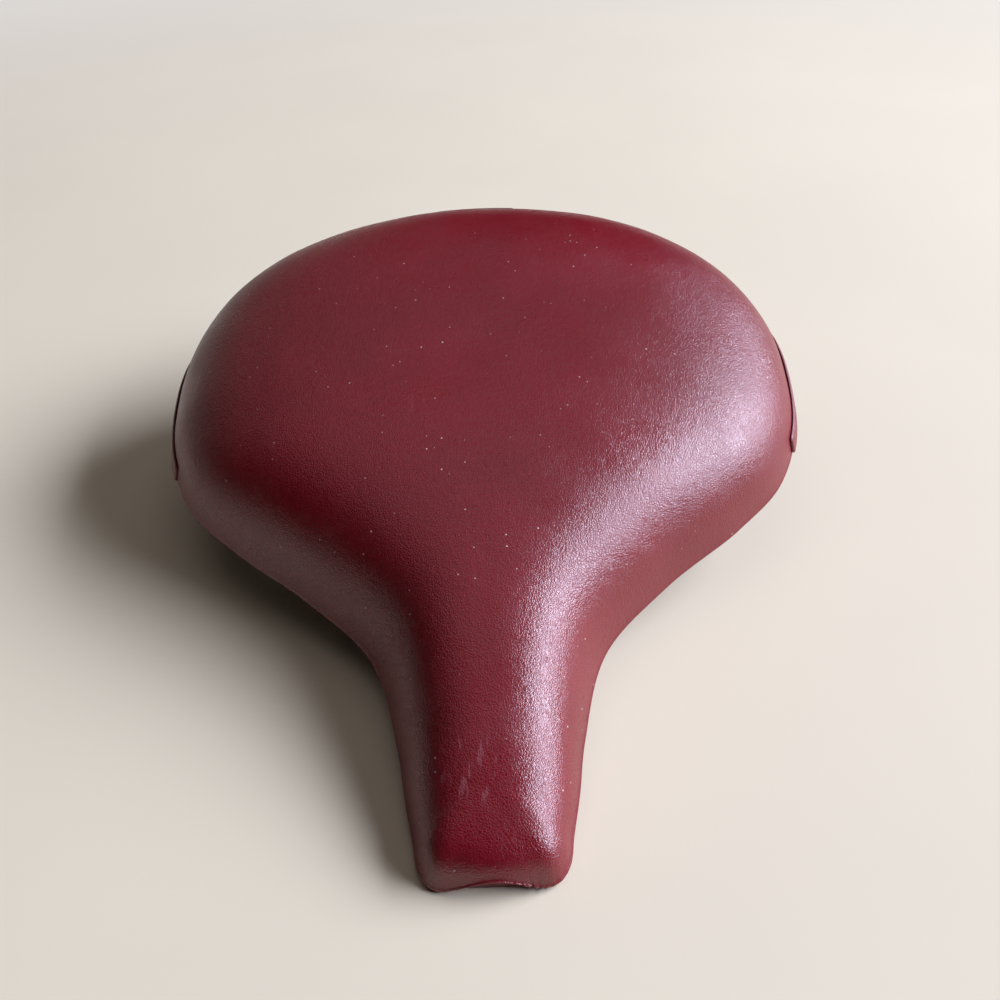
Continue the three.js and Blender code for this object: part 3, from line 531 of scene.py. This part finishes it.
def metal_material(name, colour, rough, rust, metallic=1.0, brushed=None):
    """Plated or bare steel with a clouded film, fine pitting and specks of rust."""
    material, w, shader, place = new_material(name)
    aged = group_node(w, "tarnish", {"Vector": place, "Amount": rust})
    dull = tuple(c * 0.55 for c in colour) + (1,)
    base = w.mix(aged.outputs["Cloud"], tuple(colour) + (1,), dull)
    base = w.mix(aged.outputs["Rust"], base, (0.12, 0.045, 0.018, 1))
    w.feed(shader.inputs["Base Color"], base)
    spread = w.ramp(aged.outputs["Cloud"], 0, 1, rough, rough + 0.18)
    rusty = w.math("MULTIPLY", aged.outputs["Rust"], 0.4)
    w.feed(shader.inputs["Roughness"], w.math("ADD", spread, rusty, clamp=True))
    w.feed(shader.inputs["Metallic"], w.ramp(aged.outputs["Rust"], 0, 1, metallic, 0.1))
    height = aged.outputs["Height"]
    if brushed:
        height = w.noise(w.stretched(place, brushed), 1.0, 3.0)
    bump = w.node("ShaderNodeBump", {"Height": height, "Strength": 0.12, "Distance": 0.0002})
    w.feed(shader.inputs["Normal"], bump.outputs["Normal"])
    return material


def enamel_material(name, colour, rough):
    """Stoved enamel or paint on pressed steel, with hairlines and dust."""
    material, w, shader, place = new_material(name)
    facing = w.node("ShaderNodeNewGeometry").outputs["Normal"]
    dust = group_node(w, "dust", {"Vector": place, "Amount": 0.7, "Normal": facing})
    lines = group_node(w, "hairlines", {"Vector": place, "Amount": 0.6})
    base = w.mix(w.noise(place, 40.0, 4.0), tuple(colour) + (1,), tuple(c * 1.7 + 0.004 for c in colour) + (1,))
    base = w.mix(lines.outputs["Lines"], base, (0.2, 0.19, 0.18, 1))
    base = w.mix(w.math("MULTIPLY", dust.outputs["Film"], 0.25), base, (0.32, 0.29, 0.26, 1))
    w.feed(shader.inputs["Base Color"], base)
    w.feed(shader.inputs["Roughness"], w.ramp(w.noise(place, 90.0, 4.0, 0.6), 0.3, 0.7, rough, rough + 0.2))
    bump = w.node("ShaderNodeBump", {"Height": w.noise(place, 700.0, 2.0), "Strength": 0.15,
                                     "Distance": 0.0003})
    w.feed(shader.inputs["Normal"], bump.outputs["Normal"])
    return material


def foam_material(name, colour):
    """Open-cell foam: small round cells with painted shade in their hollows, yellowed unevenly."""
    material, w, shader, place = new_material(name)
    cells = w.node("ShaderNodeTexVoronoi", {"Vector": place, "Scale": 900.0}, feature="F1").outputs["Distance"]
    aged = w.ramp(w.noise(place, 30.0, 4.0), 0.3, 0.7)
    base = w.mix(aged, tuple(colour) + (1,), tuple(c * f for c, f in zip(colour, (0.8, 0.66, 0.45))) + (1,))
    # painted shade: the cells darken towards brown where the bump sinks into them
    w.feed(shader.inputs["Base Color"], w.mix(w.ramp(cells, 0.2, 0.7, 0.5, 0.0), base, (0.25, 0.18, 0.09, 1)))
    shader.inputs["Roughness"].default_value = 0.95
    bump = w.node("ShaderNodeBump", {"Height": cells, "Strength": 0.8, "Distance": 0.0006})
    w.feed(shader.inputs["Normal"], bump.outputs["Normal"])
    return material


MATERIALS = {}


def finish_named(slot):
    """The material of one of the part's finishes, made the first time it is asked for."""
    colours = bpy.context.scene.saddle_colours
    makers = {
        "cover_vinyl": lambda: vinyl_material("cover_leatherette", colours.cover, colours.grain, 1.0),
        "trim_vinyl": lambda: vinyl_material("trim_band_vinyl", colours.trim, colours.grain * 1.3, 0.5),
        "foam": lambda: foam_material("cushion_foam", colours.foam),
        "black_steel": lambda: enamel_material("black_enamel", colours.enamel, 0.38),
        "rail_steel": lambda: metal_material("rail_chrome", (0.55, 0.56, 0.58), 0.16, 0.35),
        "spring_steel": lambda: metal_material("spring_chrome", (0.5, 0.51, 0.53), 0.2, 0.45),
        "zinc_steel": lambda: metal_material("zinc_plating", (0.55, 0.56, 0.56), 0.34, 0.3),
        "badge_metal": lambda: enamel_material("badge_plate_paint", (0.085, 0.06, 0.055), 0.3),
    }
    if slot not in MATERIALS:
        MATERIALS[slot] = makers[slot]()
    return MATERIALS[slot]


# ------------------------------------------------------------------ settings


class SaddleSizes(bpy.types.PropertyGroup):
    hem_radius: FloatProperty(
        name="Hem radius", description="Rounding of the cover's lower edge where it turns under",
        default=0.0011, min=0.0002, max=0.002, subtype="DISTANCE", unit="LENGTH")
    skin: FloatProperty(
        name="Skin", description="Thickness of the cover's leatherette",
        default=SKIN, min=0.001, max=0.003, subtype="DISTANCE", unit="LENGTH")
    trim_thickness: FloatProperty(
        name="Trim band thickness", description="How far the band stands out from the cover",
        default=0.0011, min=0.0005, max=0.003, subtype="DISTANCE", unit="LENGTH")
    unevenness: FloatProperty(
        name="Unevenness", description="Height of the soft hollows and swells in the cover",
        default=0.0003, min=0, max=0.001, subtype="DISTANCE", unit="LENGTH")
    gathers: FloatProperty(
        name="Gathers", description="Depth of the small pleats at the end of the nose arch",
        default=0.0004, min=0, max=0.001, subtype="DISTANCE", unit="LENGTH")
    around: IntProperty(name="Faces around", description="Faces round the cover", default=420, min=60, max=600)
    up: IntProperty(name="Faces up", description="Faces from the hem to the ridge", default=52, min=12, max=80)


class SaddleColours(bpy.types.PropertyGroup):
    cover: FloatVectorProperty(
        name="Cover", description="Leatherette colour", subtype="COLOR",
        default=(0.185, 0.001, 0.0085), min=0, max=1)
    trim: FloatVectorProperty(
        name="Trim band", description="Colour of the band round the rear", subtype="COLOR",
        default=(0.18, 0.0015, 0.009), min=0, max=1)
    foam: FloatVectorProperty(
        name="Foam", description="Colour of the foam", subtype="COLOR",
        default=(0.72, 0.58, 0.3), min=0, max=1)
    enamel: FloatVectorProperty(
        name="Enamel", description="Colour of the pan and its channel", subtype="COLOR",
        default=(0.012, 0.012, 0.013), min=0, max=1)
    floor: FloatVectorProperty(
        name="Floor", description="Colour of the studio floor", subtype="COLOR",
        default=(0.79, 0.745, 0.55), min=0, max=1)
    grain: FloatProperty(
        name="Grain", description="Grain pebbles per metre", default=1300.0, min=300, max=3000)


# ------------------------------------------------------------------ operators


class SADDLE_OT_cover(bpy.types.Operator):
    """Build the one-piece padded cover with its turned-in hem"""

    bl_idname = "saddle.cover"
    bl_label = "Cover"

    def execute(self, context):
        sizes = context.scene.saddle_sizes
        flange_rows, corner_rows = 4, 7
        rows = flange_rows + corner_rows + sizes.up
        radius = sizes.hem_radius

        def place(across, level):
            share = nose_first(across)
            row = level * rows
            y = on_hem(share)[0][:, 1]
            reach = pan_wall(y) + HEM_TURN - radius
            under = np.clip(row / flange_rows, 0, 1)
            bend = np.clip((row - flange_rows) / corner_rows, 0, 1) * math.pi / 2
            climb = np.clip((row - flange_rows - corner_rows) / sizes.up, 0, 1)
            side = radius + reach * (1 - under) - radius * np.sin(bend)
            lift = radius * (1 - np.cos(bend))
            low = layer(share, np.zeros(len(share)), side, 0, lift)
            foot = turn_of(share, radius)
            high = layer(share, foot + (1 - foot) * eased(climb))
            return np.where((climb > 0)[:, None], high, low)

        bm = formed_grid(sizes.around, rows, place)
        bm.normal_update()
        for v in bm.verts:
            at = v.co
            swell = noise.noise(at * 26) + 0.5 * noise.noise(at * 61)
            pleat = math.exp(-(((at.x - 0.0115) / 0.0045) ** 2) - ((at.z - 0.003) / 0.0035) ** 2)
            pleat *= math.sin(at.x * 2 * math.pi / 0.0021 + at.z * 500) if at.y < FRONT + 0.006 else 0
            v.co = at + v.normal * (sizes.unevenness * swell * min(1, at.z / 0.02) + sizes.gathers * pleat)
        cover = finish_mesh(bm, "saddle_cover", "seat", finish_named("cover_vinyl"),
                            ["cover_skin"])
        add_modifier(cover, "SOLIDIFY", thickness=sizes.skin, offset=-1, use_even_offset=False)
        return {"FINISHED"}


class SADDLE_OT_foam(bpy.types.Operator):
    """Build the foam cushion between the cover and the pan"""

    bl_idname = "saddle.foam"
    bl_label = "Foam"

    def execute(self, context):
        lift = SKIN + LAYER_GAP

        def place(across, level):
            share = nose_first(across)
            up = eased(np.abs(2 * level - 1))
            inner = layer(share, up, foam_wall, foam_top, lift)
            outer = layer(share, up, FOAM_OUT, FOAM_OUT, lift)
            return np.where((level > 0.5)[:, None], outer, inner)

        bm = formed_grid(160, 41, place)
        foam = finish_mesh(bm, "foam_cushion", "seat", finish_named("foam"), ["foam_pad"])
        return {"FINISHED"}


class SADDLE_OT_pan(bpy.types.Operator):
    """Build the pressed steel pan under the foam"""

    bl_idname = "saddle.pan"
    bl_label = "Pan"

    def execute(self, context):
        lift = SKIN + LAYER_GAP

        def place(across, level):
            share = nose_first(across)
            up = eased(np.abs(2 * level - 1))
            inner = layer(share, up, pan_wall, pan_top, lift)
            outer = layer(share, up, lambda y: foam_wall(y) + LAYER_GAP,
                          lambda y: foam_top(y) + LAYER_GAP, lift)
            return np.where((level > 0.5)[:, None], outer, inner)

        bm = formed_grid(256, 49, place)
        finish_mesh(bm, "steel_pan", "seat", finish_named("black_steel"), ["base_pan"])
        return {"FINISHED"}


def strip(name, start, end, along, section, slot, replaces, end_length):
    """A closed strip lying on the cover's outside, with both ends rounded over. section gives, for shares along
    the hem and levels round the strip, its turn up the form and how far out it stands."""
    round_rows = 5

    def place(across, level):
        row = across * along
        from_end = np.minimum(row, along - row)
        tip = np.clip(from_end / round_rows, 0, 1)
        body = np.clip((row - round_rows) / (along - 2 * round_rows), 0, 1)
        tip_share = end_length / HEM_ROUND
        share = start + tip_share + (end - start - 2 * tip_share) * body
        full = np.sqrt(np.clip(1 - (1 - tip) ** 2, 0, 1))
        share = np.where(tip < 1, np.where(row < along / 2, start, end) - np.where(row < along / 2, -1, 1)
                         * tip_share * (1 - np.cos(tip * math.pi / 2)), share)
        turn, out = section(share, level, full)
        return layer(share, turn, -out, -out, 0)

    bm = formed_grid(along, 20, place)
    return finish_mesh(bm, name, "seat", finish_named(slot), replaces)


class SADDLE_OT_trim_band(bpy.types.Operator):
    """Build the band round the rear of the cover"""

    bl_idname = "saddle.trim_band"
    bl_label = "Trim band"

    def execute(self, context):
        thick = context.scene.saddle_sizes.trim_thickness
        height = TRIM_HIGH - TRIM_LOW

        def section(share, level, full):
            up, out = rounded_loop(level, height, thick, 0.0007)
            up = TRIM_LOW + height / 2 + (up - height / 2) * full
            out = CLOSE + thick / 2 + (out - thick / 2) * full
            return turn_of(share, up), out

        start, end_length = TRIM_START / 2, 0.0012
        strip("trim_band", start, 1 - start, 240, section, "trim_vinyl", ["rear_trim_band"], end_length)
        return {"FINISHED"}


class SADDLE_OT_badge_plate(bpy.types.Operator):
    """Build the blank plate on the rear shoulder"""

    bl_idname = "saddle.badge_plate"
    bl_label = "Badge plate"

    def execute(self, context):
        middle = np.array([(BADGE_LOW + BADGE_HIGH) / 2])
        rear = FRONT + LENGTH
        fan = (layer(np.array([0.5]), middle)[0][1] - REAR_SPINE) / (rear - REAR_SPINE)
        reach = BADGE_WIDTH / 2 / fan / HEM_ROUND
        height = BADGE_HIGH - BADGE_LOW

        def section(share, level, full):
            up, out = rounded_loop(level, 1.0, BADGE_THICKNESS / 0.012, 0.045)
            out = out * 0.012
            up = 0.5 + (up - 0.5) * (0.88 + 0.12 * full) * np.where(full > 0, 1, 0)
            out = CLOSE + BADGE_THICKNESS / 2 + (out - BADGE_THICKNESS / 2) * full
            return BADGE_LOW + height * up, out

        end_length = 0.0006
        strip("badge_plate", 0.5 - reach, 0.5 + reach, 60, section, "badge_metal", ["rear_badge_plate"],
              end_length)
        return {"FINISHED"}


class SADDLE_OT_nose_lip(bpy.types.Operator):
    """Build the tucked-in lip that fills the arch in the nose"""

    bl_idname = "saddle.nose_lip"
    bl_label = "Nose lip"

    def execute(self, context):
        lo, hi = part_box("nose_lip")
        half, edge_radius = (hi.x - lo.x) / 2, 0.0009
        places, shares = HEM_PLACES, HEM_SHARES
        near_nose = shares < 0.05
        edge = float(np.interp(half, places[near_nose, 0], shares[near_nose]))

        def place(across, level):
            share = edge * (2 * across - 1)
            x = on_hem(share)[0][:, 0]
            arch = ARCH_HEIGHT * np.clip(np.cos(math.pi * x / ARCH_WIDTH), 0, 1) ** 1.3
            height = HEM_CLEAR + arch - GAP
            deep, up = rounded_loop(level, LIP_DEPTH, 1.0, 0.0001)
            front = np.clip(1 - deep / LIP_DEPTH, 0, 1)
            side = LIP_SETBACK + deep
            flat = layer(share, np.zeros(len(share)), side, 0, 0)
            bend = 1 - np.clip(up * height / edge_radius, 0, 1)
            roll = edge_radius * (1 - np.sqrt(np.clip(1 - bend ** 2, 0, 1))) * front
            full = np.clip(np.minimum(across, 1 - across) * 60, 0, 1)
            flat[:, 1] += roll
            flat[:, 2] = height / 2 + (up - 0.5) * height * np.sqrt(full)
            return flat

        bm = formed_grid(60, 20, place)
        finish_mesh(bm, "nose_inner_lip", "seat", finish_named("cover_vinyl"), ["nose_lip"])
        return {"FINISHED"}


class SADDLE_OT_springs(bpy.types.Operator):
    """Build the two coil springs"""

    bl_idname = "saddle.springs"
    bl_label = "Springs"

    def execute(self, context):
        for side in ("left", "right"):
            node = f"coil_spring_{side}"
            lo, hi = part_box(node)
            centre = Vector(((lo.x + hi.x) / 2, (lo.y + hi.y) / 2, 0))
            closed, tight = 0.75, WIRE_D * 1.1
            middle = TURNS - 2 * closed
            rise = hi.z - lo.z - WIRE_D - 2 * closed * tight
            bm = bmesh.new()
            start = Matrix.Translation(centre + Vector((COIL_D / 2, 0, lo.z + WIRE_D / 2))) @ Matrix.Rotation(
                math.pi / 2, 4, "X")
            ring = bmesh.ops.create_circle(bm, cap_ends=False, radius=WIRE_D / 2, segments=18,
                                           matrix=start)["verts"]
            geometry = ring + list({e for v in ring for e in v.link_edges})
            for turns, lift in ((closed, closed * tight), (middle, rise), (closed, closed * tight)):
                steps = int(turns * 40)
                spun = bmesh.ops.spin(bm, geom=geometry, cent=centre, axis=(0, 0, 1), angle=turns * 2 * math.pi,
                                      dvec=(0, 0, lift / steps), steps=steps)
                geometry = spun["geom_last"]
            bmesh.ops.holes_fill(bm, edges=[e for e in bm.edges if e.is_boundary], sides=0)
            bmesh.ops.recalc_face_normals(bm, faces=bm.faces)
            spring = finish_mesh(bm, f"spring_{side}", "undercarriage", finish_named("spring_steel"),
                                 [node])
            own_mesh(spring)
        return {"FINISHED"}


class SADDLE_OT_steelwork(bpy.types.Operator):
    """Finish the rails, clamp, cups, nuts and bolts with softened edges"""

    bl_idname = "saddle.steelwork"
    bl_label = "Steelwork"

    slots = {"rail_": "rail_steel", "nose_lug": "black_steel", "rear_channel": "black_steel"}

    def execute(self, context):
        stood_for = {n for o in bpy.data.objects for n in o.get("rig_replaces", [])}
        for node, source in frame["nodes"].items():
            if node in stood_for:
                continue
            slot = next((s for start, s in self.slots.items() if node.startswith(start)), "zinc_steel")
            bm = bmesh.new()
            bm.from_mesh(source.data)
            bmesh.ops.remove_doubles(bm, verts=bm.verts, dist=2e-6)
            bmesh.ops.dissolve_limit(bm, angle_limit=math.radians(1.5), verts=bm.verts, edges=bm.edges)
            for edge in bm.edges:
                edge.smooth = edge.calc_face_angle(0) < math.radians(38)
            piece = finish_mesh(bm, f"{node}_finished", source["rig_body"], finish_named(slot), [node])
            add_modifier(piece, "BEVEL", width=0.00022, segments=2, limit_method="ANGLE",
                         angle_limit=math.radians(38), use_clamp_overlap=True)
        return {"FINISHED"}


class SADDLE_OT_stage(bpy.types.Operator):
    """Set up the floor, the lights and the camera"""

    bl_idname = "saddle.stage"
    bl_label = "Stage"

    def execute(self, context):
        colours = context.scene.saddle_colours
        bm = bmesh.new()
        bmesh.ops.create_grid(bm, x_segments=1, y_segments=1, size=12)
        mesh = bpy.data.meshes.new("studio_floor")
        bm.to_mesh(mesh)
        bm.free()
        floor = bpy.data.objects.new("studio_floor", mesh)
        context.scene.collection.objects.link(floor)
        material, w, shader, place = new_material("pale_floor")
        shade = w.ramp(w.noise(place, 6.0, 3.0), 0.3, 0.7, 0.97, 1.0)
        tint = w.node("ShaderNodeMix", data_type="RGBA", blend_type="MULTIPLY")
        tint.inputs[0].default_value = 1.0
        w.feed(tint.inputs[6], tuple(colours.floor) + (1,))
        w.feed(tint.inputs[7], shade)
        w.feed(shader.inputs["Base Color"], tint.outputs[2])
        shader.inputs["Roughness"].default_value = 0.8
        far = w.node("ShaderNodeVectorMath", {0: place}, operation="LENGTH").outputs["Value"]
        seen = w.node("ShaderNodeLightPath").outputs["Is Camera Ray"]
        haze = w.node("ShaderNodeEmission", {"Color": BACKDROP})
        blend = w.node("ShaderNodeMixShader", {0: w.math("MULTIPLY", w.ramp(far, 0.4, 1.5), seen)})
        w.feed(blend.inputs[1], shader.outputs["BSDF"])
        w.feed(blend.inputs[2], haze.outputs["Emission"])
        output = next(n for n in material.node_tree.nodes if n.type == "OUTPUT_MATERIAL")
        w.feed(output.inputs["Surface"], blend.outputs[0])
        mesh.materials.append(material)

        world = bpy.data.worlds.new("soft_room")
        context.scene.world = world
        world.use_nodes = True
        tree = world.node_tree
        seen = tree.nodes.new("ShaderNodeMix")
        seen.data_type = "RGBA"
        seen.inputs[6].default_value = (0.006, 0.006, 0.006, 1)
        seen.inputs[7].default_value = BACKDROP
        tree.links.new(tree.nodes.new("ShaderNodeLightPath").outputs["Is Camera Ray"], seen.inputs[0])
        tree.links.new(seen.outputs[2], tree.nodes["Background"].inputs["Color"])
        context.scene.view_settings.view_transform = "Standard"
        lit_point = Vector((0, 0, 0.04))
        for name, toward, distance, size, power, tint in (
            ("window", (0.85, 0.07, 0.52), 4.0, (4.1, 1.7), 395, (0.8, 0.8, 1.0)),
            ("ceiling", (0.0, 0.3, 1.0), 1.8, (2.0, 1.5), 5, (1.0, 0.86, 0.92)),
            ("fill", (-0.6, 0.9, 0.2), 1.8, (1.6, 1.0), 1.8, (1.0, 0.92, 0.84)),
        ):
            lamp = bpy.data.lights.new(name, "AREA")
            lamp.shape, lamp.size, lamp.size_y = "RECTANGLE", size[0], size[1]
            lamp.energy, lamp.color = power, tint
            thing = bpy.data.objects.new(name, lamp)
            context.scene.collection.objects.link(thing)
            thing.visible_camera = False
            way = Vector(toward).normalized()
            thing.location = lit_point + way * distance
            thing.rotation_euler = way.to_track_quat("Z", "Y").to_euler()

        pitch, yaw, roll = CAMERA_PITCH, CAMERA_YAW, CAMERA_ROLL
        forward = Vector((math.sin(yaw) * math.cos(pitch), math.cos(yaw) * math.cos(pitch), -math.sin(pitch)))
        right = Vector((math.cos(yaw), -math.sin(yaw), 0))
        up = right.cross(forward)
        across = right * math.cos(roll) + up * math.sin(roll)
        above = up * math.cos(roll) - right * math.sin(roll)
        camera = bpy.data.cameras.new("camera")
        camera.lens, camera.sensor_width = 36, 36
        camera.clip_start = 0.01
        eye = bpy.data.objects.new("camera", camera)
        context.scene.collection.objects.link(eye)
        eye.matrix_world = Matrix.Translation(CAMERA_AT) @ Matrix(
            (across, above, -forward)).transposed().to_4x4()
        context.scene.camera = eye
        return {"FINISHED"}


class SADDLE_PT_panel(bpy.types.Panel):
    """Sizes, colours and the steps of the saddle"""

    bl_label = "Saddle"
    bl_idname = "SADDLE_PT_panel"
    bl_space_type = "VIEW_3D"
    bl_region_type = "UI"
    bl_category = "Saddle"

    def draw(self, context):
        for group in (context.scene.saddle_sizes, context.scene.saddle_colours):
            box = self.layout.box()
            for key in type(group).__annotations__:
                box.prop(group, key)
        for step in STEPS:
            self.layout.operator(step.bl_idname)


STEPS = (SADDLE_OT_cover, SADDLE_OT_foam, SADDLE_OT_pan, SADDLE_OT_trim_band, SADDLE_OT_badge_plate,
         SADDLE_OT_nose_lip, SADDLE_OT_springs, SADDLE_OT_steelwork, SADDLE_OT_stage)
CLASSES = (SaddleSizes, SaddleColours, *STEPS, SADDLE_PT_panel)


def register():
    for kind in CLASSES:
        bpy.utils.register_class(kind)
    bpy.types.Scene.saddle_sizes = PointerProperty(type=SaddleSizes)
    bpy.types.Scene.saddle_colours = PointerProperty(type=SaddleColours)


def unregister():
    del bpy.types.Scene.saddle_colours
    del bpy.types.Scene.saddle_sizes
    for kind in reversed(CLASSES):
        bpy.utils.unregister_class(kind)


def main():
    register()
    for step in STEPS:
        group, name = step.bl_idname.split(".")
        getattr(getattr(bpy.ops, group), name)()
    bpy.context.view_layer.update()


if __name__ == "__main__":
    main()
